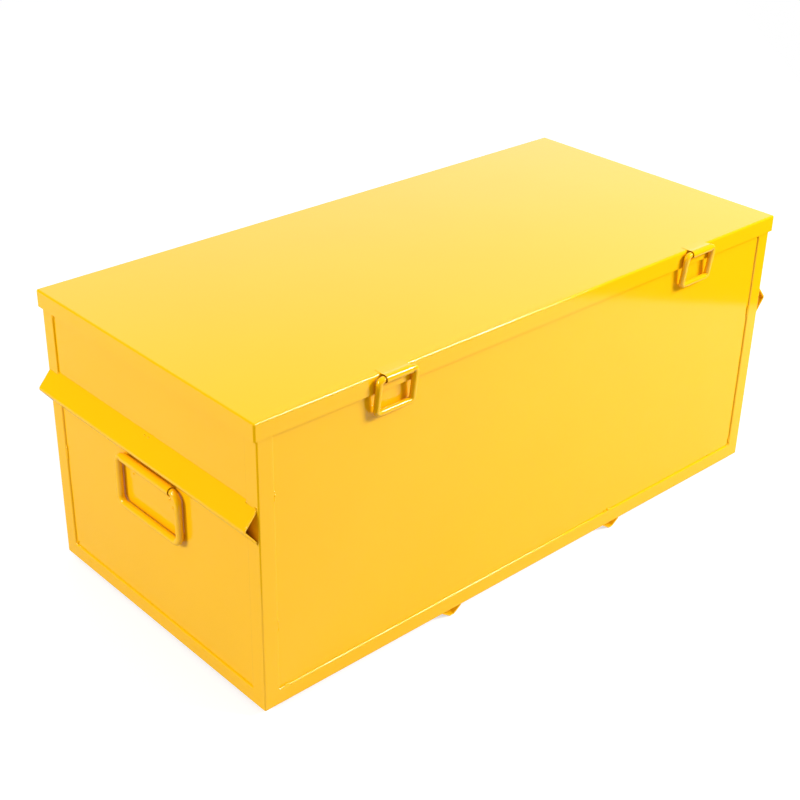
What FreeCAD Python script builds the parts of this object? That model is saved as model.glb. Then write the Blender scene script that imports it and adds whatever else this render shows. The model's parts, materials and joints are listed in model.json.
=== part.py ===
import FreeCAD, Part
import math
import os

# Steel tool box: sheet panels in a welded angle frame, with a lift-up lid on three back hinges.
# Millimetres, Z up. The origin is on the floor, at the middle of the overall length and depth.
# The front is at -Y, the back with its hinges at +Y, the two ends at -X and +X.

# Box over the outer faces of its angle frame
body_length = 1188.0
body_depth = 570.0
body_height = 507.0
sheet = 1.5                    # panels, floor and lid

# Angle bars of the frame: the bottom frame and the posts, and the smaller rim under the lid
frame_leg = 30.0
frame_thickness = 3.0
rim_leg = 25.0
root_radius = 3.5              # inside corner of an angle bar
toe_radius = 1.5               # inner edge of each leg

# Lid pan
lid_end_clearance = 4.5        # between the frame and the skirt, at the two ends
lid_side_clearance = 2.0       # the same at the front and the back
lid_seat_gap = 0.3
skirt_depth = 30.0
lid_bend = 3.5                 # outer radius where the top turns down into the skirt
lid_corner = 2.5               # outer radius of the welded upright corners

# End rails: a folded V strip across each end
rail_drop = 171.0              # top of the rim to the apex
rail_upper_height = 29.0       # apex to the upper toe, at the face of the frame
rail_lower_height = 31.5       # apex to the lower toe, at the face of the frame
rail_reach = 25.0              # face of the frame to the sharp corner of the fold
rail_thickness = 3.0
rail_bend = 4.5                # mid-wall radius of the apex
rail_end_inset = 4.0           # ends of the rail to the front and back faces of the frame

# Runners: folded channels under the floor, from front to back
left_runner_inset = 396.0      # end face of the box to the middle of the runner
right_runner_inset = 383.0
runner_width = 43.0            # at the bottom of the frame
runner_sole = 9.0
runner_depth = 12.0
runner_thickness = 2.5
runner_bend = 4.0              # mid-wall radius

# Carrying handles: a closed rod bail in a rolled plate on each end
bail_rod = 12.5                # a 12 bar under its enamel
bail_width = 165.0             # centre to centre of the legs
bail_drop = 88.5               # centre of the rolled bar to centre of the grip bar
bail_bend = 14.0               # centre-line radius of the corners
bail_clearance = 0.3           # between the rod and the roll
bail_plate_sheet = 1.5
bail_plate_width = 133.0
bail_plate_below = 38.0        # centre of the roll to the lower edge of the plate
bail_plate_corner = 15.0
bail_forward = 4.2             # middle of the box to the middle of the handle, towards the front
roll_under_rail = 1.0          # gap between the roll and the end rail above it

# Lid pulls: a closed rod loop in a strip folded round it, twice on the front edge of the lid
left_pull_inset = 250.0        # end face of the box to the middle of the pull
right_pull_inset = 226.0
pull_rod = 10.5                # a 10 bar under its enamel
pull_width = 71.5              # centre to centre of the legs
pull_drop = 58.5               # centre of the rolled bar to centre of the lower bar
pull_bend = 8.0                # centre-line radius of the corners
pull_clearance = 0.3
pull_reach = 8.8               # skirt to the centre of the rolled bar
pull_rest_gap = 0.3            # lower bar to the plane of the frame's face, which it passes as the lid lifts
pull_strip_sheet = 1.5
pull_strip_width = 52.0
pull_strip_back = 14.0         # length on the lid top, behind the face of the skirt
pull_strip_margin = 9.0        # end of the strip to the lower edge of the skirt
pull_strip_bend = 2.5          # mid-wall radius where the strip turns down the skirt

# Back hinges
hinge_inset = 164.0            # end face of the box to the middle of the outer hinge
hinge_width = 80.0
hinge_sheet = 2.5
hinge_pin = 6.0
hinge_pin_clearance = 0.05
hinge_drop = 2.5               # lower edge of the skirt to the pin
hinge_crank_bend = 3.0         # mid-wall radius
hinge_crank_below = 4.0        # pin to the start of the crank
hinge_notch_clearance = 0.5    # leaf to the knuckles of the other leaf
hinge_knuckle_gap = 0.5
hinge_middle_share = 0.4       # share of the width that the lid's knuckle takes
hinge_lid_margin = 5.0         # lid top to the upper edge of the lid leaf
hinge_body_leaf = 34.0         # pin to the lower edge of the body leaf
hinge_lip = 0.6                # end of a knuckle's curl to its own leaf
hinge_rail_margin = 4.0        # lower edge of the body leaf to the lower edge of the hinge rail

overrun = 5.0                  # how far a cutting tool reaches past what it cuts
closeness = 0.001              # two places nearer than this are one

# Levels
frame_bottom = runner_depth
frame_top = frame_bottom + body_height
lid_top = frame_top + lid_seat_gap + sheet
skirt_bottom = lid_top - skirt_depth

# Faces, measured from the middle of the box
end_face = body_length / 2
side_face = body_depth / 2
end_panel_face = end_face - frame_thickness
side_panel_face = side_face - frame_thickness
lid_end = end_face + lid_end_clearance + sheet
lid_side = side_face + lid_side_clearance + sheet

# Lid pull: place of its bar, and its lean towards the front panel
pull_roll_inner = pull_rod / 2 + pull_clearance
pull_roll_mid = pull_roll_inner + pull_strip_sheet / 2
pull_roll_outer = pull_roll_inner + pull_strip_sheet
pull_axis_out = lid_side + pull_reach
pull_axis_z = lid_top - pull_roll_inner
pull_rest_out = side_face + pull_rod / 2 + pull_rest_gap
pull_lean = math.degrees(math.asin((pull_axis_out - pull_rest_out) / pull_drop))

# Hinge: place of its pin
knuckle_inner = hinge_pin / 2 + hinge_pin_clearance
knuckle_mid = knuckle_inner + hinge_sheet / 2
knuckle_outer = knuckle_inner + hinge_sheet
hinge_axis_out = lid_side + knuckle_outer
hinge_axis_z = skirt_bottom - hinge_drop

# The origin lies midway between the foremost and the rearmost surface
front_reach = pull_axis_out + pull_roll_outer
back_reach = hinge_axis_out + knuckle_outer
middle_y = (front_reach - back_reach) / 2

# Handle: the roll sits on the panel and just clears the sloping leg of the end rail
bail_roll_inner = bail_rod / 2 + bail_clearance
bail_roll_mid = bail_roll_inner + bail_plate_sheet / 2
bail_roll_outer = bail_roll_inner + bail_plate_sheet
bail_axis_out = end_panel_face + bail_roll_outer
rail_z = frame_top - rail_drop
rail_depth = rail_reach + frame_thickness
rail_rise = rail_upper_height * rail_depth / rail_reach
rail_fall = rail_lower_height * rail_depth / rail_reach
roll_to_rail = (bail_roll_outer + roll_under_rail) * math.hypot(rail_depth, rail_fall) / rail_depth
bail_axis_z = rail_z - rail_fall * (1 - bail_roll_outer / rail_depth) - roll_to_rail


def vec(x, y, z):
    return FreeCAD.Vector(x, y, z)


def save(name, shape):
    shape = shape.copy()
    shape.translate(vec(0, middle_y, 0))
    assert shape.isValid() and len(shape.Solids) == 1, name
    shape.exportStep(f"parts/{name}.step")
    print(f"{name}: {shape.Volume:.0f} mm3, {len(shape.Faces)} faces")


# Corners of the line that runs beside another, at a distance to its left
def beside(corners, distance):
    normals = []
    for start, end in zip(corners, corners[1:]):
        run = math.hypot(end[0] - start[0], end[1] - start[1])
        normals.append(((start[1] - end[1]) / run, (end[0] - start[0]) / run))
    moved = []
    for corner, before, after in zip(corners, normals[:1] + normals, normals + normals[-1:]):
        stretch = distance / (1 + before[0] * after[0] + before[1] * after[1])
        moved.append((corner[0] + (before[0] + after[0]) * stretch,
                      corner[1] + (before[1] + after[1]) * stretch))
    return moved


turn_shares = (0, 0.5, 1)      # places of an arc's three points
curve_share = 1 - math.sqrt(0.5)
quarter_turn = 90.0
bend_steps = 3                 # straight steps in a quarter bend of a rod


# Outline of a strip folded along a mid-line: corners in order, and a bend radius at each inner corner
def strip_edges(corners, bends, thickness, at):
    steps = []
    for start, end in zip(corners, corners[1:]):
        run = math.hypot(end[0] - start[0], end[1] - start[1])
        steps.append(((end[0] - start[0]) / run, (end[1] - start[1]) / run))
    sides = []
    for offset in (thickness / 2, -thickness / 2):
        points = [(corners[0][0] - steps[0][1] * offset, corners[0][1] + steps[0][0] * offset)]
        arcs = []
        for corner, before, after, bend in zip(corners[1:], steps, steps[1:], bends):
            turn = math.atan2(before[0] * after[1] - before[1] * after[0],
                              before[0] * after[0] + before[1] * after[1])
            hand = math.copysign(1, turn)
            reach = bend * math.tan(abs(turn) / 2)
            centre = (corner[0] - before[0] * reach - before[1] * hand * bend,
                      corner[1] - before[1] * reach + before[0] * hand * bend)
            radius = bend - hand * offset
            arc = []
            for share in turn_shares:
                angle = turn * share
                spoke = (before[1] * math.cos(angle) + before[0] * math.sin(angle),
                         before[1] * math.sin(angle) - before[0] * math.cos(angle))
                arc.append((centre[0] + hand * radius * spoke[0], centre[1] + hand * radius * spoke[1]))
            arcs.append(arc)
        last = (corners[-1][0] - steps[-1][1] * offset, corners[-1][1] + steps[-1][0] * offset)
        sides.append((points[0], arcs, last))
    edges = []
    for first, arcs, last in sides:
        here = first
        for arc in arcs:
            edges += line_edge(here, arc[0], at)
            edges.append(Part.Arc(at(*arc[0]), at(*arc[1]), at(*arc[2])).toShape())
            here = arc[2]
        edges += line_edge(here, last, at)
    edges += line_edge(sides[0][0], sides[1][0], at)
    edges += line_edge(sides[0][2], sides[1][2], at)
    return edges


def line_edge(start, end, at):
    if math.hypot(end[0] - start[0], end[1] - start[1]) < closeness:
        return []
    return [Part.LineSegment(at(*start), at(*end)).toShape()]


def folded_strip(corners, bends, thickness, at, along):
    edges = Part.sortEdges(strip_edges(corners, bends, thickness, at))[0]
    return Part.Face(Part.Wire(edges)).extrude(along)


# Angle bar: "at" places the section, whose outer corner is 0, 0 and whose legs run along its two axes
def angle_bar(first_leg, second_leg, at, along):
    wall = frame_thickness
    root = wall + root_radius
    outline = [
        (0, 0), (first_leg, 0), (first_leg, wall - toe_radius),
        (first_leg - toe_radius, wall), (root, wall),
        (wall, root), (wall, second_leg - toe_radius),
        (wall - toe_radius, second_leg), (0, second_leg)]
    bulges = {
        2: (first_leg - toe_radius * curve_share, wall - toe_radius * curve_share),
        4: (wall + root_radius * curve_share, wall + root_radius * curve_share),
        6: (wall - toe_radius * curve_share, second_leg - toe_radius * curve_share)}
    edges = []
    for index, start in enumerate(outline):
        end = outline[(index + 1) % len(outline)]
        if index in bulges:
            edges.append(Part.Arc(at(*start), at(*bulges[index]), at(*end)).toShape())
        else:
            edges.append(Part.LineSegment(at(*start), at(*end)).toShape())
    return Part.Face(Part.Wire(edges)).extrude(along)


# Closed ring of round rod: straight bars joined by stepped quarter bends, the top bar centred on 0, 0
def rod_ring(width, drop, bend, diameter, at):
    half = width / 2
    corners = [at(half, 0), at(half, -drop), at(-half, -drop), at(-half, 0)]
    pieces = []
    for index, corner in enumerate(corners):
        back = corners[index - 1] - corner
        onward = corners[(index + 1) % len(corners)] - corner
        straight = onward.Length - 2 * bend
        back.normalize()
        onward.normalize()
        pieces.append(Part.makeCylinder(diameter / 2, straight, corner + onward * bend, onward))
        centre = corner + (back + onward) * bend
        sections = []
        for step in range(bend_steps + 1):
            section = Part.Wire(Part.Circle(corner + back * bend, back, diameter / 2).toShape())
            section.rotate(centre, onward.cross(back), quarter_turn * step / bend_steps)
            sections.append(section)
        pieces.append(Part.makeLoft(sections, True, True))
    return pieces[0].multiFuse(pieces[1:]).removeSplitter()


def block(x_range, y_range, z_range):
    return Part.makeBox(x_range[1] - x_range[0], y_range[1] - y_range[0], z_range[1] - z_range[0],
                        vec(x_range[0], y_range[0], z_range[0]))


def mitred(bar, half_length, outer, leg, z_range, across):
    inner = outer - math.copysign(leg, outer)
    plan = [(-half_length, outer), (half_length, outer),
            (half_length - leg, inner), (leg - half_length, inner)]
    if across:
        plan = [(v, u) for u, v in plan]
    points = [vec(u, v, z_range[0]) for u, v in plan]
    prism = Part.Face(Part.makePolygon(points + points[:1])).extrude(vec(0, 0, z_range[1] - z_range[0]))
    return bar.common(prism)


os.makedirs("parts", exist_ok=True)

# Bottom frame and rim: four mitred angle bars each
frame_rings = (("bottom", frame_leg, frame_bottom, 1), ("rim", rim_leg, frame_top, -1))
for ring_name, leg, corner_z, up in frame_rings:
    z_range = sorted((corner_z, corner_z + up * leg))
    for side_name, hand in (("front", -1), ("back", 1)):
        bar = angle_bar(leg, leg, lambda u, v: vec(-end_face, hand * (side_face - u), corner_z + up * v),
                        vec(body_length, 0, 0))
        bar = mitred(bar, end_face, hand * side_face, leg, z_range, False)
        save(f"{ring_name}_angle_{side_name}", bar)
    for side_name, hand in (("left", -1), ("right", 1)):
        bar = angle_bar(leg, leg, lambda u, v: vec(hand * (end_face - u), -side_face, corner_z + up * v),
                        vec(0, body_depth, 0))
        bar = mitred(bar, side_face, hand * end_face, leg, z_range, True)
        save(f"{ring_name}_angle_{side_name}", bar)

# Corner posts between the bottom frame and the rim
post_bottom = frame_bottom + frame_leg
post_height = frame_top - rim_leg - post_bottom
for side_name, hand_y in (("front", -1), ("back", 1)):
    for end_name, hand_x in (("left", -1), ("right", 1)):
        post = angle_bar(frame_leg, frame_leg,
                         lambda u, v: vec(hand_x * (end_face - u), hand_y * (side_face - v), post_bottom),
                         vec(0, 0, post_height))
        save(f"corner_post_{side_name}_{end_name}", post)

# Sheet panels, welded inside the frame and clear of the root of each angle
panel_z = (frame_bottom + frame_thickness + root_radius, frame_top - frame_thickness - root_radius)
side_panel_half = end_panel_face - root_radius
end_panel_half = side_panel_face - root_radius
for side_name, hand in (("front", -1), ("back", 1)):
    faces = sorted((hand * side_panel_face, hand * (side_panel_face - sheet)))
    save(f"{side_name}_panel", block((-side_panel_half, side_panel_half), faces, panel_z))
for side_name, hand in (("left", -1), ("right", 1)):
    faces = sorted((hand * end_panel_face, hand * (end_panel_face - sheet)))
    save(f"{side_name}_end_panel", block(faces, (-end_panel_half, end_panel_half), panel_z))
floor_bottom = frame_bottom + frame_thickness
floor_sheet = block((-side_panel_half, side_panel_half), (-end_panel_half, end_panel_half),
                    (floor_bottom, floor_bottom + sheet))
save("floor_panel", floor_sheet)

# End rails: the folded strip is cut back to the panel, and notched over the two posts
rail_half = side_face - rail_end_inset
for side_name, hand in (("left", -1), ("right", 1)):
    behind_share = overrun / rail_depth
    outside = [(-overrun, rail_rise * (1 + behind_share)), (rail_depth, 0),
               (-overrun, -rail_fall * (1 + behind_share))]
    rail = folded_strip(beside(outside, -rail_thickness / 2), [rail_bend], rail_thickness,
                        lambda u, v: vec(hand * (end_panel_face + u), -rail_half, rail_z + v),
                        vec(0, 2 * rail_half, 0))
    rail_zone = (rail_z - 2 * rail_fall, rail_z + 2 * rail_rise)
    rail = rail.cut(block(sorted((0, hand * end_panel_face)), (-side_face, side_face), rail_zone))
    for hand_y in (-1, 1):
        width = sorted((hand_y * (side_face - frame_leg), hand_y * side_face))
        rail = rail.cut(block(sorted((0, hand * end_face)), width, rail_zone))
    save(f"end_rail_{side_name}", rail)

# Runners: the channel is notched over the bottom frame and reaches the floor sheet between
for side_name, runner_x in (("left", left_runner_inset - end_face), ("right", end_face - right_runner_inset)):
    half_sole = runner_sole / 2
    top = floor_bottom + overrun
    half_top = half_sole + (runner_width / 2 - half_sole) * top / runner_depth
    outside = [(-half_top, top), (-half_sole, 0), (half_sole, 0), (half_top, top)]
    inside = beside(outside, runner_thickness / 2)
    runner = folded_strip(inside, [runner_bend] * 2, runner_thickness,
                          lambda u, v: vec(runner_x + u, -side_face, v),
                          vec(0, body_depth, 0))
    whole_length = (-end_face, end_face)
    runner = runner.cut(block(whole_length, (-side_face, side_face), (floor_bottom, top + overrun)))
    for hand_y in (-1, 1):
        width = sorted((hand_y * (side_face - frame_leg), hand_y * side_face))
        runner = runner.cut(block(whole_length, width, (frame_bottom, top + overrun)))
    save(f"runner_{side_name}", runner)

# Carrying handles
for side_name, hand in (("left", -1), ("right", 1)):
    mid = bail_plate_sheet / 2
    far = mid + 2 * bail_roll_mid
    corners = [(mid, -bail_plate_below), (mid, bail_roll_mid), (far, bail_roll_mid),
               (far, -bail_roll_mid), (bail_plate_sheet + bail_clearance, -bail_roll_mid)]
    plate = folded_strip(corners, [bail_roll_mid] * 3, bail_plate_sheet,
                         lambda u, v: vec(hand * (end_panel_face + u),
                                          -bail_forward - bail_plate_width / 2, bail_axis_z + v),
                         vec(0, bail_plate_width, 0))
    low_z = bail_axis_z - bail_plate_below
    foot_edges = []
    for edge in plate.Edges:
        box = edge.BoundBox
        if box.ZMax < low_z + mid and box.YLength < mid:
            foot_edges.append(edge)
    plate = plate.makeFillet(bail_plate_corner, foot_edges)
    save(f"handle_plate_{side_name}", plate)
    bail = rod_ring(bail_width, bail_drop, bail_bend, bail_rod,
                    lambda u, v: vec(hand * bail_axis_out, u - bail_forward, bail_axis_z + v))
    save(f"handle_{side_name}", bail)

# Lid pan: a rounded block hollowed to the sheet's thickness
def rounded_pan(half_x, half_y, low, high, corner, bend):
    pan = block((-half_x, half_x), (-half_y, half_y), (low, high))
    pan = pan.makeFillet(corner, [edge for edge in pan.Edges if edge.BoundBox.ZLength > closeness])
    return pan.makeFillet(bend, [edge for edge in pan.Edges if edge.BoundBox.ZMin > high - closeness])


lid = rounded_pan(lid_end, lid_side, skirt_bottom, lid_top, lid_corner, lid_bend)
hollow = rounded_pan(lid_end - sheet, lid_side - sheet, skirt_bottom - overrun, lid_top - sheet,
                     lid_corner - sheet, lid_bend - sheet)
lid = lid.cut(hollow)
save("lid", lid)

# Lid pulls
for side_name, pull_x in (("left", left_pull_inset - end_face), ("right", end_face - right_pull_inset)):
    flat = pull_roll_mid
    tail = pull_reach - pull_strip_sheet / 2
    tail_end = skirt_bottom + pull_strip_margin - pull_axis_z
    corners = [(pull_reach + pull_strip_back, flat), (-pull_roll_mid, flat), (-pull_roll_mid, -flat),
               (tail, -flat), (tail, tail_end)]
    strip = folded_strip(corners, [pull_roll_mid, pull_roll_mid, pull_strip_bend], pull_strip_sheet,
                         lambda u, v: vec(pull_x - pull_strip_width / 2, u - pull_axis_out, pull_axis_z + v),
                         vec(pull_strip_width, 0, 0))
    save(f"pull_plate_{side_name}", strip)
    pull = rod_ring(pull_width, pull_drop, pull_bend, pull_rod,
                    lambda u, v: vec(pull_x + u, -pull_axis_out, pull_axis_z + v))
    pull.rotate(vec(0, -pull_axis_out, pull_axis_z), vec(1, 0, 0), pull_lean)
    save(f"lid_pull_{side_name}", pull)

# Hinge rail: a flat bar in the plane of the frame, between the back posts and under the rim
rail_low = hinge_axis_z - hinge_body_leaf - hinge_rail_margin
hinge_rail = block((frame_leg - end_face, end_face - frame_leg), (side_panel_face, side_face),
                   (rail_low, frame_top - rim_leg))
save("hinge_rail", hinge_rail)

# Hinges: the lid leaf lies on the skirt, and the body leaf is cranked in to the hinge rail
half_middle = hinge_width * hinge_middle_share / 2
for name, hand in (("left", -1), ("middle", 0), ("right", 1)):
    hinge_x = hand * (end_face - hinge_inset)
    start_x = hinge_x - hinge_width / 2

    def at_hinge(u, v):
        return vec(start_x, lid_side + u, hinge_axis_z + v)

    mid = hinge_sheet / 2
    far = mid + 2 * knuckle_mid
    lip = hinge_sheet + hinge_lip
    upper = lid_top - hinge_lid_margin - hinge_axis_z
    corners = [(mid, upper), (mid, -knuckle_mid), (far, -knuckle_mid),
               (far, knuckle_mid), (lip, knuckle_mid)]
    lid_leaf = folded_strip(corners, [knuckle_mid] * 3, hinge_sheet, at_hinge, vec(hinge_width, 0, 0))
    step_in = side_face - lid_side
    crank_end = -hinge_crank_below + step_in
    corners = [(mid + step_in, -hinge_body_leaf), (mid + step_in, crank_end), (mid, -hinge_crank_below),
               (mid, knuckle_mid), (far, knuckle_mid), (far, -knuckle_mid), (lip, -knuckle_mid)]
    bends = [hinge_crank_bend] * 2 + [knuckle_mid] * 3
    body_leaf = folded_strip(corners, bends, hinge_sheet, at_hinge, vec(hinge_width, 0, 0))

    clear = knuckle_outer + hinge_notch_clearance
    axis_point = vec(hinge_x - half_middle - hinge_knuckle_gap, hinge_axis_out, hinge_axis_z)
    middle_zone = Part.makeCylinder(clear, 2 * (half_middle + hinge_knuckle_gap), axis_point, vec(1, 0, 0))
    body_leaf = body_leaf.cut(middle_zone)
    for side in (-1, 1):
        side_point = vec(hinge_x + side * half_middle, hinge_axis_out, hinge_axis_z)
        side_length = hinge_width / 2 - half_middle + overrun
        zone = Part.makeCylinder(clear, side_length, side_point, vec(side, 0, 0))
        lid_leaf = lid_leaf.cut(zone)
    save(f"hinge_lid_leaf_{name}", lid_leaf)
    save(f"hinge_body_leaf_{name}", body_leaf)

    pin_end = vec(start_x, hinge_axis_out, hinge_axis_z)
    save(f"hinge_pin_{name}", Part.makeCylinder(hinge_pin / 2, hinge_width, pin_end, vec(1, 0, 0)))

print(f"lid hinge axis: y {hinge_axis_out + middle_y:.4f}, z {hinge_axis_z:.4f}")
print(f"pull axis: y {middle_y - pull_axis_out:.4f}, z {pull_axis_z:.4f}, lean {pull_lean:.3f} degrees")
print(f"handle axis: x {bail_axis_out:.4f}, z {bail_axis_z:.4f}")
print(f"middle of the depth moved by {middle_y:.4f}, lid top {lid_top:.4f}")
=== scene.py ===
import json
import math

import bmesh
import bpy
from mathutils import Matrix, Vector

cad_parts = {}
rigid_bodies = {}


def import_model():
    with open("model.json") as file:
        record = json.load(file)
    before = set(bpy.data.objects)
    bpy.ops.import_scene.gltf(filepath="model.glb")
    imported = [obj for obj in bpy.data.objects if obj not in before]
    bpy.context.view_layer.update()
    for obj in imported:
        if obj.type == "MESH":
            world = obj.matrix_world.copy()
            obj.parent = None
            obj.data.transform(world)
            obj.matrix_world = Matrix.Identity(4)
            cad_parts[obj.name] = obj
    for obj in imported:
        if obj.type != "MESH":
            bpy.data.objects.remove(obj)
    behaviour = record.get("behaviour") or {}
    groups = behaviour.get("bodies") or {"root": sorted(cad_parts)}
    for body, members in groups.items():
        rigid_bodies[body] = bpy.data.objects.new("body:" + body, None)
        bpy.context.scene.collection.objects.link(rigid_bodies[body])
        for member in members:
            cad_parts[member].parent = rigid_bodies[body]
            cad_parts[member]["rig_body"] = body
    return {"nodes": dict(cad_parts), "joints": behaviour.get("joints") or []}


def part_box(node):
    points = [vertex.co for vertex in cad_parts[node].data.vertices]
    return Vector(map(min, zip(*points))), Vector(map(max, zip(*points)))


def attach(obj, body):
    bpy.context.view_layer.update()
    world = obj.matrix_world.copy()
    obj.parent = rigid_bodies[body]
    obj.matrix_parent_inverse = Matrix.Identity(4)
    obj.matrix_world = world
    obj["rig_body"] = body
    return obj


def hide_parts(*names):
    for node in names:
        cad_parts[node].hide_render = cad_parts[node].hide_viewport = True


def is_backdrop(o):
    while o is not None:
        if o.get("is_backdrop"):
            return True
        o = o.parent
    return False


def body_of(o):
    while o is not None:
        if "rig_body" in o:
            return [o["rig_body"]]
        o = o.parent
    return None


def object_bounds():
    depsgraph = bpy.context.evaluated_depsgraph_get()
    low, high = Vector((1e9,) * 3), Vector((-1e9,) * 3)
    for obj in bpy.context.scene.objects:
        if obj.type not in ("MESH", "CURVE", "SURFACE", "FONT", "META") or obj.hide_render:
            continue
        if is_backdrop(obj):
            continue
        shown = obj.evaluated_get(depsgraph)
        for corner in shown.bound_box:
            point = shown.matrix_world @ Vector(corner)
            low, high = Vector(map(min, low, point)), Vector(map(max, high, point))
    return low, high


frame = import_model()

cadLow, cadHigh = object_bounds()          # the box that the solids fill
scene = bpy.context.scene


def linkPiece(name, data):
    piece = bpy.data.objects.new(name, data)
    scene.collection.objects.link(piece)
    return piece


def pieceFrom(name, mesh):             # a linked object from a finished bmesh
    data = bpy.data.meshes.new(name)
    mesh.to_mesh(data)
    mesh.free()
    return linkPiece(name, data)


def pieceName(node):                   # bottom_angle_front -> bottomAngleFront
    words = node.split("_")
    return words[0] + "".join(word.capitalize() for word in words[1:])


def bodyName(node):
    return body_of(frame["nodes"][node])[0]


def boxOf(names):
    corners = [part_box(name) for name in names]
    low = Vector([min(pair[0][axis] for pair in corners) for axis in range(3)])
    high = Vector([max(pair[1][axis] for pair in corners) for axis in range(3)])
    return low, high


def bakeModifiers(piece):              # leaves a plain mesh with the modifiers' result
    depsgraph = bpy.context.evaluated_depsgraph_get()
    baked = bpy.data.meshes.new_from_object(piece.evaluated_get(depsgraph))
    old = piece.data
    piece.modifiers.clear()
    piece.data = baked
    baked.name = piece.name
    bpy.data.meshes.remove(old)
    return piece


def addWall(piece, thickness, offset, even):
    wall = piece.modifiers.new("wall", "SOLIDIFY")
    wall.thickness = thickness
    wall.offset = offset
    wall.use_even_offset = even


softening = {"segments": 2, "sharpAngle": 40, "faceWeight": 80}    # the weight keeps large faces flat


def softenEdges(piece, width=0.0, creases=()):
    if width > 0:
        rounding = piece.modifiers.new("edgeRounding", "BEVEL")
        rounding.width = width
        rounding.segments = softening["segments"]
        rounding.limit_method = "ANGLE"
        rounding.angle_limit = math.radians(softening["sharpAngle"])
        rounding.miter_outer = "MITER_ARC"
    piece.data.shade_smooth()
    for index in creases:
        piece.data.edges[index].use_edge_sharp = True
    normals = piece.modifiers.new("faceWeights", "WEIGHTED_NORMAL")
    normals.weight = softening["faceWeight"]
    normals.keep_sharp = True
    return bakeModifiers(piece)


def finishPiece(piece, body, material, slotName, *nodes):
    piece.data.materials.clear()
    piece.data.materials.append(material)
    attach(piece, body)
    if nodes:
        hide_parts(*nodes)


# In node trees a plain value is set and a socket is linked
def feed(socket, value):
    if isinstance(value, bpy.types.NodeSocket):
        socket.id_data.links.new(value, socket)
    else:
        socket.default_value = value


def addSockets(tree, direction, kind, *names):
    for name in names:
        tree.interface.new_socket(name, in_out=direction, socket_type="NodeSocket" + kind)


# Sprayed enamel: colour drift, uneven gloss and surface height
paint = {
    "colour": (0.985, 0.530, 0.003, 1.0), "deepColour": (0.960, 0.505, 0.003, 1.0),
    "driftScale": 7.0, "driftDetail": 3.0,
    "roughness": 0.09, "glossDrift": 0.05, "unevenScale": 23.0, "unevenDetail": 4.0,
    "dentDetail": 1.0, "peelScale": 500.0, "peelDetail": 2.0, "bumpDistance": 0.0006, "ior": 1.5,
}

# Dents to the metre, their share of the height, and the orange peel's share
enamels = {
    "sheetEnamel": (2.6, 1.0, 0.0010),
    "barEnamel": (9.0, 0.15, 0.0015),
    "rodEnamel": (30.0, 0.04, 0.0015),
    "beadEnamel": (260.0, 0.3, 0.02),
}


def buildEnamelSkin():
    group = bpy.data.node_groups.new("enamelSkin", "ShaderNodeTree")
    addSockets(group, "INPUT", "Color", "Paint", "Deep Paint")
    addSockets(group, "INPUT", "Float", "Gloss", "Gloss Drift", "Dent Scale", "Dent Share", "Peel Scale",
               "Peel Share")
    addSockets(group, "OUTPUT", "Color", "Colour")
    addSockets(group, "OUTPUT", "Float", "Roughness", "Height")
    nodes = group.nodes
    given = nodes.new("NodeGroupInput").outputs
    made = nodes.new("NodeGroupOutput").inputs
    place = nodes.new("ShaderNodeTexCoord")

    def noise(scale, detail):
        node = nodes.new("ShaderNodeTexNoise")
        feed(node.inputs["Scale"], scale)
        feed(node.inputs["Detail"], detail)
        feed(node.inputs["Vector"], place.outputs["Object"])
        return node.outputs["Fac"]

    def maths(operation, first, second):
        node = nodes.new("ShaderNodeMath")
        node.operation = operation
        feed(node.inputs[0], first)
        feed(node.inputs[1], second)
        return node.outputs[0]

    drift = nodes.new("ShaderNodeMix")
    drift.data_type = "RGBA"
    feed(drift.inputs["Factor"], noise(paint["driftScale"], paint["driftDetail"]))
    feed(drift.inputs["A"], given["Paint"])
    feed(drift.inputs["B"], given["Deep Paint"])
    feed(made["Colour"], drift.outputs["Result"])
    uneven = maths("SUBTRACT", noise(paint["unevenScale"], paint["unevenDetail"]), 0.5)
    feed(made["Roughness"], maths("ADD", given["Gloss"], maths("MULTIPLY", uneven, given["Gloss Drift"])))
    dents = maths("MULTIPLY", noise(given["Dent Scale"], paint["dentDetail"]), given["Dent Share"])
    peel = maths("MULTIPLY", noise(given["Peel Scale"], paint["peelDetail"]), given["Peel Share"])
    feed(made["Height"], maths("ADD", dents, peel))
    return group


enamelSkin = buildEnamelSkin()


def enamel(name):
    dentScale, dentShare, peelShare = enamels[name]
    material = bpy.data.materials.new(name)
    material.use_nodes = True
    nodes = material.node_tree.nodes
    shader = nodes["Principled BSDF"]
    skin = nodes.new("ShaderNodeGroup")
    skin.node_tree = enamelSkin
    for socket, value in (("Paint", paint["colour"]), ("Deep Paint", paint["deepColour"]),
                          ("Gloss", paint["roughness"]), ("Gloss Drift", paint["glossDrift"]),
                          ("Dent Scale", dentScale), ("Dent Share", dentShare),
                          ("Peel Scale", paint["peelScale"]), ("Peel Share", peelShare)):
        feed(skin.inputs[socket], value)
    bump = nodes.new("ShaderNodeBump")
    feed(bump.inputs["Strength"], 1.0)
    feed(bump.inputs["Distance"], paint["bumpDistance"])
    feed(bump.inputs["Height"], skin.outputs["Height"])
    feed(shader.inputs["Base Color"], skin.outputs["Colour"])
    feed(shader.inputs["Roughness"], skin.outputs["Roughness"])
    feed(shader.inputs["Normal"], bump.outputs["Normal"])
    feed(shader.inputs["IOR"], paint["ior"])
    return material


sheetEnamel, barEnamel, rodEnamel, beadEnamel = (enamel(name) for name in enamels)

pinFinish = {"colour": (0.55, 0.54, 0.52, 1.0), "roughness": 0.38, "spread": 0.08,
             "marks": (2000.0, 60.0, 60.0)}           # turning marks round the pin


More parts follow.
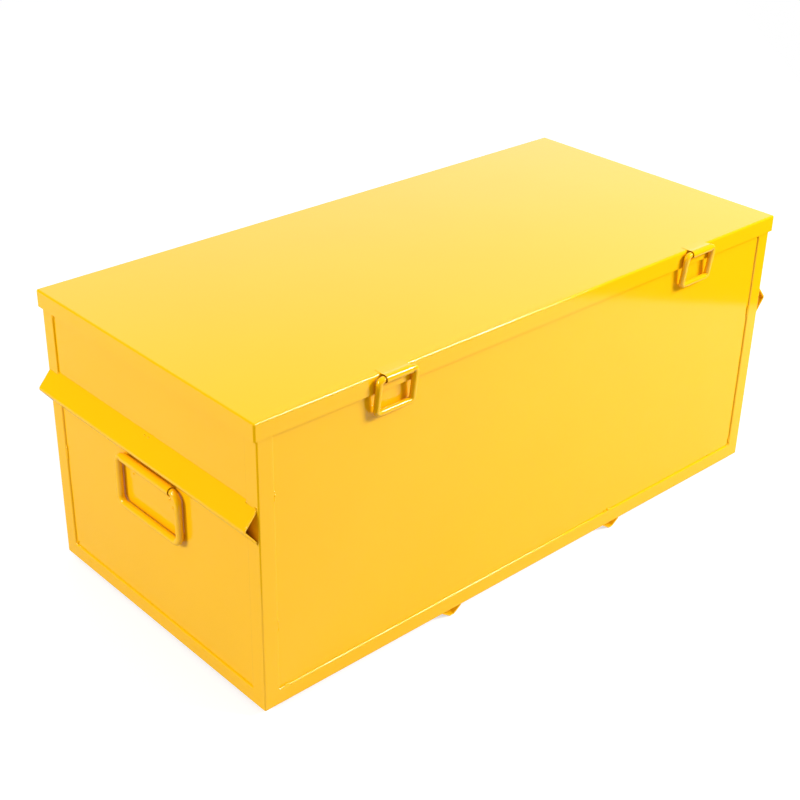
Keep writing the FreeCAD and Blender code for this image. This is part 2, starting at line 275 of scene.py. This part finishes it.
def buildPinSteel():
    material = bpy.data.materials.new("pinSteel")
    material.use_nodes = True
    nodes = material.node_tree.nodes
    shader = nodes["Principled BSDF"]
    place = nodes.new("ShaderNodeTexCoord")
    stretch = nodes.new("ShaderNodeMapping")
    marks = nodes.new("ShaderNodeTexNoise")
    level = nodes.new("ShaderNodeMapRange")
    feed(stretch.inputs["Scale"], pinFinish["marks"])
    feed(stretch.inputs["Vector"], place.outputs["Object"])
    feed(marks.inputs["Vector"], stretch.outputs["Vector"])
    feed(level.inputs["Value"], marks.outputs["Fac"])
    feed(level.inputs["To Min"], pinFinish["roughness"] - pinFinish["spread"])
    feed(level.inputs["To Max"], pinFinish["roughness"] + pinFinish["spread"])
    feed(shader.inputs["Base Color"], pinFinish["colour"])
    feed(shader.inputs["Metallic"], 1.0)
    feed(shader.inputs["Roughness"], level.outputs["Result"])
    return material


pinSteel = buildPinSteel()
print("finishes made")


# The mitred angle bars and posts are welded and ground into one cage
cage = {
    "wall": 0.003, "leg": 0.030, "rimLeg": 0.025,
    "toeRounding": 0.0028, "cornerRounding": 0.0029, "segments": 4, "sharpAngle": 50,
    "jointLength": 0.005, "jointDepth": 0.015, "jointAngle": 2, "tolerance": 0.0001,
}
cageNodes = [name for name in sorted(frame["nodes"]) if "_angle_" in name or name.startswith("corner_post")]


def cageSkin(low, high):               # one plane border of flanges on each of the six sides
    mesh = bmesh.new()
    corners = {}

    def corner(axis, side, others, ends, atToe):
        onTop = axis == 2 and side == 1
        place = Vector((0, 0, 0))
        place[axis] = (low, high)[side][axis]
        for other, end in zip(others, ends):
            leg = cage["rimLeg"] if onTop or (other == 2 and end == 1) else cage["leg"]
            place[other] = (low, high)[end][other] + (leg * (1 - 2 * end) if atToe else 0)
        key = tuple(round(value, 6) for value in place)
        if key not in corners:
            corners[key] = mesh.verts.new(place)
        return corners[key]

    loop = ((0, 0), (1, 0), (1, 1), (0, 1))
    for axis in range(3):
        others = [other for other in range(3) if other != axis]
        for side in (0, 1):
            for start, stop in zip(loop, loop[1:] + loop[:1]):
                mesh.faces.new([corner(axis, side, others, ends, atToe) for ends, atToe in
                                ((start, False), (stop, False), (stop, True), (start, True))])
    bmesh.ops.recalc_face_normals(mesh, faces=mesh.faces)
    middle = (low + high) / 2
    for face in mesh.faces:
        if (face.calc_center_median() - middle).dot(face.normal) < 0:
            face.normal_flip()
    return mesh


def buildCage():
    low, high = boxOf(cageNodes)
    piece = pieceFrom("angleCage", cageSkin(low, high))
    addWall(piece, cage["wall"], -1, True)
    bakeModifiers(piece)

    def outerPlanes(edge):             # how many of the cage's outer planes the whole edge lies in
        return sum(all(abs(end.co[axis] - plane[axis]) < cage["tolerance"] for end in edge.verts)
                   for axis in range(3) for plane in (low, high))

    def isToeJoint(edge):              # a short joint where the toes of two bars meet
        middle = (edge.verts[0].co + edge.verts[1].co) / 2
        depths = sorted(min(middle[axis] - low[axis], high[axis] - middle[axis]) for axis in range(3))
        return (edge.calc_length() < cage["jointLength"] and depths[1] > cage["jointDepth"]
                and edge.calc_face_angle(0) > math.radians(cage["jointAngle"]))

    mesh = bmesh.new()
    mesh.from_mesh(piece.data)
    for planes, radius in ((1, cage["toeRounding"]), (2, cage["cornerRounding"])):
        edges = [edge for edge in mesh.edges if outerPlanes(edge) == planes
                 and edge.calc_face_angle(0) > math.radians(cage["sharpAngle"])]
        bmesh.ops.bevel(mesh, geom=edges, offset=radius, segments=cage["segments"], profile=0.5,
                        affect="EDGES", clamp_overlap=False)
    mesh.edges.index_update()
    creases = [edge.index for edge in mesh.edges if isToeJoint(edge)]
    mesh.to_mesh(piece.data)
    mesh.free()
    return softenEdges(piece, creases=creases)


finishPiece(buildCage(), "body", barEnamel, "yellow_enamel", *cageNodes)
print("angle cage made")


# Pieces that keep the solid's shape, with their cut edges eased
plainPieces = {                        # start of the name: (radius of the eased edge, material)
    "front_panel": (0.0, sheetEnamel),
    "back_panel": (0.0, sheetEnamel),
    "left_end_panel": (0.0, sheetEnamel),
    "right_end_panel": (0.0, sheetEnamel),
    "floor_panel": (0.0, sheetEnamel),
    "end_rail": (0.0005, barEnamel),
    "runner": (0.0004, barEnamel),
    "hinge_rail": (0.0005, barEnamel),
    "hinge_lid_leaf": (0.0003, barEnamel),
    "hinge_body_leaf": (0.0003, barEnamel),
    "hinge_pin": (0.0003, pinSteel),
}
cleaning = {"mergeDistance": 0.00001, "flatAngle": 0.5}


def easedCopy(node, radius):
    data = frame["nodes"][node].data.copy()
    mesh = bmesh.new()
    mesh.from_mesh(data)
    bmesh.ops.remove_doubles(mesh, verts=mesh.verts, dist=cleaning["mergeDistance"])
    bmesh.ops.dissolve_limit(mesh, angle_limit=math.radians(cleaning["flatAngle"]), verts=mesh.verts,
                             edges=mesh.edges)
    mesh.to_mesh(data)
    mesh.free()
    if "custom_normal" in data.attributes:
        data.attributes.remove(data.attributes["custom_normal"])
    return softenEdges(linkPiece(pieceName(node), data), radius)


for node in sorted(frame["nodes"]):
    for start, (radius, material) in plainPieces.items():
        if node.startswith(start):
            slotName = "bright_steel" if material is pinSteel else "yellow_enamel"
            finishPiece(easedCopy(node, radius), bodyName(node), material, slotName, node)
print("sheet and bar pieces made")


# The lid is one pressed sheet with ground corners, rounded a little more than the solid
lidForm = {"sheet": 0.0015, "bend": 0.0037, "bendSegments": 6}


def buildLid():
    low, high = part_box("lid")
    mesh = bmesh.new()
    ring = [mesh.verts.new((x, y, z)) for z in (low.z, high.z)
            for x, y in ((low.x, low.y), (high.x, low.y), (high.x, high.y), (low.x, high.y))]
    for index in range(4):
        after = (index + 1) % 4
        mesh.faces.new((ring[index], ring[after], ring[after + 4], ring[index + 4]))
    mesh.faces.new(ring[4:])
    piece = pieceFrom("lid", mesh)
    rounding = piece.modifiers.new("cornerRounding", "BEVEL")
    rounding.width = lidForm["bend"]
    rounding.segments = lidForm["bendSegments"]
    rounding.limit_method = "ANGLE"
    addWall(piece, lidForm["sheet"], -1, True)
    return softenEdges(piece)


finishPiece(buildLid(), "lid", sheetEnamel, "yellow_enamel", "lid")
print("lid made")


# Folded sheets that hold the handles and pulls, drawn round each joint's axis: u outwards, v up
jointPlace = {joint["child"]: Vector(joint["pos_m"]) for joint in frame["joints"]}


def arcPath(radius, start, stop, steps):    # degrees from straight up, towards the outside
    angles = [math.radians(start + (stop - start) * step / steps) for step in range(steps + 1)]
    return [(radius * math.sin(angle), radius * math.cos(angle)) for angle in angles]


def foldedSheet(name, columns, pathAt, place, form):
    mesh = bmesh.new()
    rows = [[mesh.verts.new(place(u, v, along)) for u, v in pathAt(along)] for along in columns]
    for row, after in zip(rows, rows[1:]):
        for index in range(len(row) - 1):
            mesh.faces.new((row[index], row[index + 1], after[index + 1], after[index]))
    bmesh.ops.recalc_face_normals(mesh, faces=mesh.faces)
    piece = pieceFrom(name, mesh)
    addWall(piece, form["sheet"], 0, False)
    return softenEdges(piece, form["easing"])


handlePlate = {
    "sheet": 0.0012, "outer": 0.00805, "foot": 0.038, "corner": 0.015, "cornerSteps": 6, "rollSteps": 30,
    "lip": 0.0018, "easing": 0.0002,
}


def buildHandlePlate(side, hand):
    node = f"handle_plate_{side}"
    low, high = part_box(node)
    axis = jointPlace[f"{side}_handle"]
    radius = handlePlate["outer"] - handlePlate["sheet"] / 2
    corner = handlePlate["corner"]
    quarter = math.pi / 2 / handlePlate["cornerSteps"]
    steps = [corner * (1 - math.cos(quarter * step)) for step in range(handlePlate["cornerSteps"] + 1)]
    columns = [low.y + step for step in steps] + [high.y - step for step in reversed(steps)]
    roll = arcPath(radius, -90, 180, handlePlate["rollSteps"])
    lip = (handlePlate["lip"] + handlePlate["sheet"] - handlePlate["outer"], -radius)

    def pathAt(along):                 # from the rounded foot on the end panel up and over the rod
        gap = min(along - low.y, high.y - along, corner)
        lift = corner - math.sqrt(max(0, 2 * corner * gap - gap ** 2))
        return [(-radius, lift - handlePlate["foot"])] + roll + [lip]

    def place(u, v, along):
        return Vector((axis.x + hand * u, along, axis.z + v))

    piece = foldedSheet(pieceName(node), columns, pathAt, place, handlePlate)
    finishPiece(piece, "body", rodEnamel, "yellow_enamel", node)


pullPlate = {
    "sheet": 0.0011, "outer": 0.00705, "reach": 0.0088, "back": 0.014, "seat": 0.00555, "sink": 0.0005,
    "flatEnd": 0.008, "riseEnd": 0.004, "rollSteps": 18, "underEnd": 0.0045,
    "tailBend": 0.0025, "tailSteps": 5, "tailEnd": -0.01545, "easing": 0.00045,
}


def buildPullPlate(side):
    node = f"pull_plate_{side}"
    low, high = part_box(node)
    axis = jointPlace[f"{side}_pull"]
    half = pullPlate["sheet"] / 2
    radius = pullPlate["outer"] - half
    flat = pullPlate["seat"] + half - pullPlate["sink"]
    tail = half - pullPlate["reach"]
    bend = pullPlate["tailBend"]
    path = [(-pullPlate["reach"] - pullPlate["back"], flat), (-pullPlate["flatEnd"], flat),
            (-pullPlate["riseEnd"], (flat + radius) / 2)]
    path += arcPath(radius, 0, 180, pullPlate["rollSteps"])
    path += [(-pullPlate["underEnd"], -radius)]
    for step in range(pullPlate["tailSteps"] + 1):
        turn = math.pi / 2 * step / pullPlate["tailSteps"]
        path.append((tail + bend * (1 - math.sin(turn)), -radius - bend * (1 - math.cos(turn))))
    path += [(tail, pullPlate["tailEnd"])]

    def place(u, v, along):
        return Vector((along, axis.y - u, axis.z + v))

    piece = foldedSheet(pieceName(node), [low.x, high.x], lambda along: path, place, pullPlate)
    finishPiece(piece, "lid", rodEnamel, "yellow_enamel", node)


for side, hand in (("left", -1), ("right", 1)):
    buildHandlePlate(side, hand)
    buildPullPlate(side)
print("rolled sheets made")


# Round-rod loops with smooth bends, slimmer where they pass through their roll
rods = {"sides": 28, "bendSteps": 9, "creaseWidth": 0.0004, "keep": 0.0006}
loops = {
    "handle": {"rod": 0.0125, "width": 0.165, "drop": 0.0885, "bend": 0.014,
               "rollHalf": 0.0662, "waist": 0.0023, "crease": 0.0},
    "lid_pull": {"rod": 0.0105, "width": 0.0715, "drop": 0.0585, "bend": 0.0068,
                 "rollHalf": 0.0262, "waist": 0.0016, "crease": 0.0005},
}


def loopOutline(loop):                 # rings on the loop: (u across, v down, angle, how much slimmer)
    drop, bend, steps = loop["drop"], loop["bend"], rods["bendSteps"]
    side, top, foot = loop["width"] / 2 - bend, bend, drop - bend
    outline = []
    for u, v, start in ((side, top, 0), (side, foot, 90), (-side, foot, 180), (-side, top, 270)):
        if start == 180 and loop["crease"]:              # the crease beside the welded corner
            for step, depth in ((5, 0), (4, 0), (3, 1), (2, 0)):
                outline.append((u + step * rods["creaseWidth"], drop, math.pi / 2, depth * loop["crease"]))
        for step in range(-1, steps + 2):                # a ring beyond each end keeps the straights straight
            angle = math.radians(start - 90 + 90 * min(max(step, 0), steps) / steps)
            beyond = rods["keep"] * (-1 if step < 0 else 1 if step > steps else 0)
            outline.append((u + bend * math.cos(angle) - beyond * math.sin(angle),
                            v + bend * math.sin(angle) + beyond * math.cos(angle), angle, 0))
    outline += [(end * loop["rollHalf"], 0, math.radians(270), loop["waist"]) for end in (-1, 1)]
    return outline


def rodLoop(name, loop, axisPlace, across, down):
    outwards = across.cross(down)
    mesh = bmesh.new()
    rings = []
    for u, v, angle, slimmer in loopOutline(loop):
        spoke = across * math.cos(angle) + down * math.sin(angle)
        middle = axisPlace + across * u + down * v
        turns = [2 * math.pi * index / rods["sides"] for index in range(rods["sides"])]
        rings.append([mesh.verts.new(middle + (spoke * math.cos(turn) + outwards * math.sin(turn))
                                     * (loop["rod"] / 2 - slimmer)) for turn in turns])
    for first, second in zip(rings, rings[1:] + rings[:1]):
        for index in range(rods["sides"]):
            after = (index + 1) % rods["sides"]
            mesh.faces.new((first[index], first[after], second[after], second[index]))
    bmesh.ops.recalc_face_normals(mesh, faces=mesh.faces)
    piece = pieceFrom(name, mesh)
    piece.data.shade_smooth()
    return piece


for node, body in (("handle_left", "left_handle"), ("handle_right", "right_handle"),
                   ("lid_pull_left", "left_pull"), ("lid_pull_right", "right_pull")):
    low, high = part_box(node)
    axisPlace = jointPlace[body]
    loop = loops[node.rsplit("_", 1)[0]]
    if node.startswith("handle"):
        across, down = Vector((0, 1, 0)), Vector((0, 0, -1))
    else:                              # a pull's foot leans in to the front, as its solid's height tells
        fall = axisPlace.z - (low.z + loop["rod"] / 2)
        lean = math.sqrt(loop["drop"] ** 2 - fall ** 2)
        across, down = Vector((1, 0, 0)), Vector((0, lean, -fall)) / loop["drop"]
    piece = rodLoop(pieceName(node), loop, axisPlace, across, down)
    finishPiece(piece, body, rodEnamel, "yellow_enamel", node)
print("handles and pulls made")


# Weld beads strung along seams
beads = {"pitch": 0.0026, "radius": 0.0021, "wander": 0.0004,
         "leastScale": 0.65, "mostScale": 1.15, "seed": 11}


def buildBeadTree():
    tree = bpy.data.node_groups.new("weldBead", "GeometryNodeTree")
    addSockets(tree, "INPUT", "Geometry", "Seams")
    addSockets(tree, "INPUT", "Float", "Pitch", "Bead Radius", "Wander", "Least Scale", "Most Scale")
    addSockets(tree, "INPUT", "Int", "Seed")
    addSockets(tree, "INPUT", "Material", "Finish")
    addSockets(tree, "OUTPUT", "Geometry", "Beads")
    nodes = tree.nodes
    given = nodes.new("NodeGroupInput").outputs
    made = nodes.new("NodeGroupOutput").inputs
    curve = nodes.new("GeometryNodeMeshToCurve")
    feed(curve.inputs["Mesh"], given["Seams"])
    points = nodes.new("GeometryNodeResampleCurve")
    points.mode = "LENGTH"
    feed(points.inputs["Curve"], curve.outputs["Curve"])
    feed(points.inputs["Length"], given["Pitch"])
    shift = nodes.new("FunctionNodeRandomValue")
    shift.data_type = "FLOAT_VECTOR"
    feed(shift.inputs["Min"], (-1, -1, -1))
    feed(shift.inputs["Max"], (1, 1, 1))
    feed(shift.inputs["Seed"], given["Seed"])
    wander = nodes.new("ShaderNodeVectorMath")
    wander.operation = "SCALE"
    feed(wander.inputs[0], shift.outputs["Value"])
    feed(wander.inputs["Scale"], given["Wander"])
    moved = nodes.new("GeometryNodeSetPosition")
    feed(moved.inputs["Geometry"], points.outputs["Curve"])
    feed(moved.inputs["Offset"], wander.outputs["Vector"])
    drop = nodes.new("GeometryNodeMeshIcoSphere")
    feed(drop.inputs["Subdivisions"], 2)
    feed(drop.inputs["Radius"], given["Bead Radius"])
    size = nodes.new("FunctionNodeRandomValue")
    size.data_type = "FLOAT"
    least, most = [socket for socket in size.inputs if socket.enabled][:2]
    feed(least, given["Least Scale"])
    feed(most, given["Most Scale"])
    feed(size.inputs["Seed"], given["Seed"])
    placed = nodes.new("GeometryNodeInstanceOnPoints")
    feed(placed.inputs["Points"], moved.outputs["Geometry"])
    feed(placed.inputs["Instance"], drop.outputs["Mesh"])
    feed(placed.inputs["Scale"], next(socket for socket in size.outputs if socket.enabled))
    real = nodes.new("GeometryNodeRealizeInstances")
    feed(real.inputs["Geometry"], placed.outputs["Instances"])
    smooth = nodes.new("GeometryNodeSetShadeSmooth")
    feed(smooth.inputs["Geometry"], real.outputs["Geometry"])
    painted = nodes.new("GeometryNodeSetMaterial")
    feed(painted.inputs["Geometry"], smooth.outputs["Geometry"])
    feed(painted.inputs["Material"], given["Finish"])
    feed(made["Beads"], painted.outputs["Geometry"])
    return tree


beadTree = buildBeadTree()


def weldBeads(name, seams, scale=1.0, even=False):
    data = bpy.data.meshes.new(name)
    places = [place for seam in seams for place in seam]
    data.from_pydata(places, [(index, index + 1) for index in range(0, len(places), 2)], [])
    piece = linkPiece(name, data)
    modifier = piece.modifiers.new("weldBead", "NODES")
    modifier.node_group = beadTree
    values = {"Pitch": beads["pitch"] * scale, "Bead Radius": beads["radius"] * scale,
              "Wander": beads["wander"] * scale, "Least Scale": 1.0 if even else beads["leastScale"],
              "Most Scale": 1.0 if even else beads["mostScale"], "Seed": beads["seed"], "Finish": beadEnamel}
    for item in beadTree.interface.items_tree:
        if item.in_out == "INPUT" and item.name in values:
            modifier[item.identifier] = values[item.name]
    finishPiece(bakeModifiers(piece), "body", beadEnamel, "yellow_enamel")


# Seam welds along the toes of the bottom bars (from x to x) and up the posts (side, from z to z)
seamForm = {
    "depth": 0.0024, "toeGap": 0.0004,           # centre of a bead under the flange's face and past its toe
    "frontRuns": ((-0.5620, -0.5480), (0.1905, 0.1935), (0.2000, 0.2020), (0.4980, 0.4990),
                  (0.5600, 0.5625)),
    "frontPosts": ((1, 0.325, 0.345), (1, 0.050, 0.056), (-1, 0.150, 0.170), (-1, 0.380, 0.395)),
    "backRuns": ((-0.5600, -0.5300), (-0.3300, -0.2800), (-0.0300, 0.0300), (0.2800, 0.3300),
                 (0.5300, 0.5600)),
    "backPosts": ((-1, 0.120, 0.150), (-1, 0.330, 0.360), (1, 0.120, 0.150), (1, 0.330, 0.360)),
}
cageLow, cageHigh = boxOf(cageNodes)
toeZ = cageLow.z + cage["leg"] + seamForm["toeGap"]
postX = cageHigh.x - cage["leg"] - seamForm["toeGap"]


def straightSeams(y, runs, posts):
    along = [((start, y, toeZ), (stop, y, toeZ)) for start, stop in runs]
    return along + [((side * postX, y, low), (side * postX, y, high)) for side, low, high in posts]


frontSeams = straightSeams(cageLow.y + seamForm["depth"], seamForm["frontRuns"], seamForm["frontPosts"])
backSeams = straightSeams(cageHigh.y - seamForm["depth"], seamForm["backRuns"], seamForm["backPosts"])
weldBeads("frontSeamWelds", frontSeams)
weldBeads("backSeamWelds", backSeams)

# Tacks on the left end: up the back post (z), in the lower corner (forward, up), at the rail's front end
# and on its upper side (y), with the ways out from the panel and down from the rail's top edge
tacks = {
    "post": ((0.4785, 0.4910), (0.3780, 0.3795), (0.2160, 0.2390)),
    "corner": ((0.002, 0.001), (0.004, 0.004)),
    "railEnd": (0.005, 0.002), "endOut": 0.0035, "endDown": 0.002, "scale": 0.9,
    "roof": ((0.0016, -0.0002), (-0.0084, -0.0102)), "roofOut": 0.0037, "roofDown": 0.0058, "roofScale": 1.0,
}
railLow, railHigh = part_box("end_rail_left")
leftX, backPostY = cageLow.x + seamForm["depth"], cageHigh.y - cage["leg"] - seamForm["toeGap"]
endX, endZ = railHigh.x - tacks["endOut"], railHigh.z - tacks["endDown"]
roofX, roofZ = railHigh.x - tacks["roofOut"], railHigh.z - tacks["roofDown"]
endTacks = [[(leftX, backPostY, z) for z in run] for run in tacks["post"]]
endTacks.append([(leftX, backPostY - forward, toeZ + up) for forward, up in tacks["corner"]])
endTacks.append([(endX, railLow.y + y, endZ) for y in tacks["railEnd"]])
roofTacks = [[(roofX, y, roofZ) for y in run] for run in tacks["roof"]]
weldBeads("leftEndTacks", endTacks, tacks["scale"])
weldBeads("leftRailTacks", roofTacks, tacks["roofScale"], True)

# Plug welds through the foot of each handle's plate (y, z)
plugs = {"spots": ((0.0473, 0.2830), (-0.0526, 0.2843), (-0.0596, 0.2729)),
         "depth": 0.0010, "length": 0.0005, "scale": 1.24}
for side, hand in (("left", -1), ("right", 1)):
    plateLow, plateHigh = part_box(f"handle_plate_{side}")
    face = plateLow.x if hand > 0 else plateHigh.x
    x = face + hand * (handlePlate["sheet"] - plugs["depth"])
    plugWelds = [((x, y, z), (x, y - plugs["length"], z)) for y, z in plugs["spots"]]
    weldBeads(f"{side}PlugWelds", plugWelds, plugs["scale"], True)
print("weld beads made")


# Stage, light and camera; the enamel mirrors a backdrop that stands beyond the box
studio = {
    "ceilingLight": 0.73, "wallLight": 0.36,
    "backdropWay": (0.664, 0.664, 0.342), "backdropEdge": 0.50, "backdropFull": 0.82,
    "backdropLow": 1.5, "backdropHigh": 0.45, "lowZ": 0.30, "highZ": 0.52,
    "keyPower": 165.0, "keyPlace": (2.01, -2.665, 2.5), "keySize": (1.5, 0.9),
    "fillPower": 92.0, "fillPlace": (-3.6, 0.95, 1.95), "fillSize": (1.0, 1.0),
    "floorColour": (0.50, 0.50, 0.50, 1.0), "floorRoughness": 0.9, "floorGlow": 0.62,
    "floorReach": 30.0, "floorNear": 1.42, "floorRight": 1.42,
}
viewpoint = {"place": (-1.613179, -1.671349, 1.498506), "yaw": 42.785, "pitch": 28.746, "roll": 1.196,
             "focalPixels": 1454.42, "imagePixels": 800, "sensor": 36.0}


def buildStage():
    yaw = math.radians(viewpoint["yaw"])
    ahead, right = Vector((math.sin(yaw), math.cos(yaw), 0)), Vector((math.cos(yaw), -math.sin(yaw), 0))
    stand = Vector((viewpoint["place"][0], viewpoint["place"][1], 0))
    near, side, reach = studio["floorNear"], studio["floorRight"], studio["floorReach"]
    corners = [stand + ahead * along + right * across       # the paper lies along the line of sight
               for along, across in ((near, -reach), (near, side), (reach, side), (reach, -reach))]
    data = bpy.data.meshes.new("studioFloor")
    data.from_pydata([tuple(spot) for spot in corners], [], [(0, 1, 2, 3)])
    floor = linkPiece("studioFloor", data)
    material = bpy.data.materials.new("paleFloor")
    material.use_nodes = True
    nodes = material.node_tree.nodes
    rays = nodes.new("ShaderNodeLightPath")
    glow = nodes.new("ShaderNodeMath")
    glow.operation = "MULTIPLY"
    feed(glow.inputs[0], rays.outputs["Is Camera Ray"])
    feed(glow.inputs[1], studio["floorGlow"])
    for socket, value in (("Base Color", studio["floorColour"]), ("Roughness", studio["floorRoughness"]),
                          ("Specular IOR Level", 0.0), ("Emission Color", (1, 1, 1, 1)),
                          ("Emission Strength", glow.outputs[0])):
        feed(nodes["Principled BSDF"].inputs[socket], value)
    data.materials.append(material)
    floor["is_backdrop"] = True


def buildWorld():
    world = bpy.data.worlds.new("studioWorld")
    scene.world = world
    world.use_nodes = True
    nodes = world.node_tree.nodes
    way = nodes.new("ShaderNodeTexCoord").outputs["Generated"]
    rays = nodes.new("ShaderNodeLightPath")
    parts = nodes.new("ShaderNodeSeparateXYZ")
    feed(parts.inputs["Vector"], way)

    def ramp(value, *limits):
        node = nodes.new("ShaderNodeMapRange")
        feed(node.inputs["Value"], value)
        for name, limit in zip(("From Min", "From Max", "To Min", "To Max"), limits):
            feed(node.inputs[name], limit)
        return node.outputs["Result"]

    def blend(share, first, second):
        node = nodes.new("ShaderNodeMix")
        node.data_type = "FLOAT"
        for name, value in (("Factor", share), ("A", first), ("B", second)):
            feed(node.inputs[name], value)
        return node.outputs["Result"]

    height = parts.outputs["Z"]
    ceiling = ramp(height, 0.0, 1.0, studio["wallLight"], studio["ceilingLight"])
    toBackdrop = nodes.new("ShaderNodeVectorMath")
    toBackdrop.operation = "DOT_PRODUCT"
    feed(toBackdrop.inputs[0], way)
    feed(toBackdrop.inputs[1], studio["backdropWay"])
    inside = ramp(toBackdrop.outputs["Value"], studio["backdropEdge"], studio["backdropFull"], 0.0, 1.0)
    shade = ramp(height, studio["lowZ"], studio["highZ"], studio["backdropLow"], studio["backdropHigh"])
    backdrop = nodes.new("ShaderNodeMath")
    backdrop.operation = "MULTIPLY"
    feed(backdrop.inputs[0], inside)
    feed(backdrop.inputs[1], shade)
    strength = blend(rays.outputs["Is Glossy Ray"], ceiling, backdrop.outputs[0])
    light = nodes["Background"]
    feed(light.inputs["Color"], (1, 1, 1, 1))
    feed(light.inputs["Strength"], blend(rays.outputs["Is Camera Ray"], strength, 1.0))


def softbox(name, place, power, size):
    lamp = bpy.data.lights.new(name, "AREA")
    lamp.energy = power
    lamp.shape = "RECTANGLE"
    lamp.size, lamp.size_y = size
    holder = linkPiece(name, lamp)
    holder.location = place
    aim = (cadLow + cadHigh) / 2 - Vector(place)
    holder.rotation_euler = aim.to_track_quat("-Z", "Y").to_euler()


def buildCamera():
    yaw, pitch, roll = (math.radians(viewpoint[key]) for key in ("yaw", "pitch", "roll"))
    forward = Vector((math.sin(yaw) * math.cos(pitch), math.cos(yaw) * math.cos(pitch), -math.sin(pitch)))
    level = Vector((math.cos(yaw), -math.sin(yaw), 0))
    upward = level.cross(forward)
    right = math.cos(roll) * level + math.sin(roll) * upward
    top = -math.sin(roll) * level + math.cos(roll) * upward
    lens = bpy.data.cameras.new("studioCamera")
    lens.sensor_width = viewpoint["sensor"]
    lens.lens = viewpoint["focalPixels"] * viewpoint["sensor"] / viewpoint["imagePixels"]
    holder = linkPiece("studioCamera", lens)
    turn = Matrix((right, top, -forward)).transposed().to_4x4()
    holder.matrix_world = Matrix.Translation(Vector(viewpoint["place"])) @ turn
    scene.camera = holder


buildStage()
buildWorld()
softbox("keyBox", studio["keyPlace"], studio["keyPower"], studio["keySize"])
softbox("fillBox", studio["fillPlace"], studio["fillPower"], studio["fillSize"])
buildCamera()
scene.view_settings.view_transform = "Standard"
print("stage, light and camera made")

low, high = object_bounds()
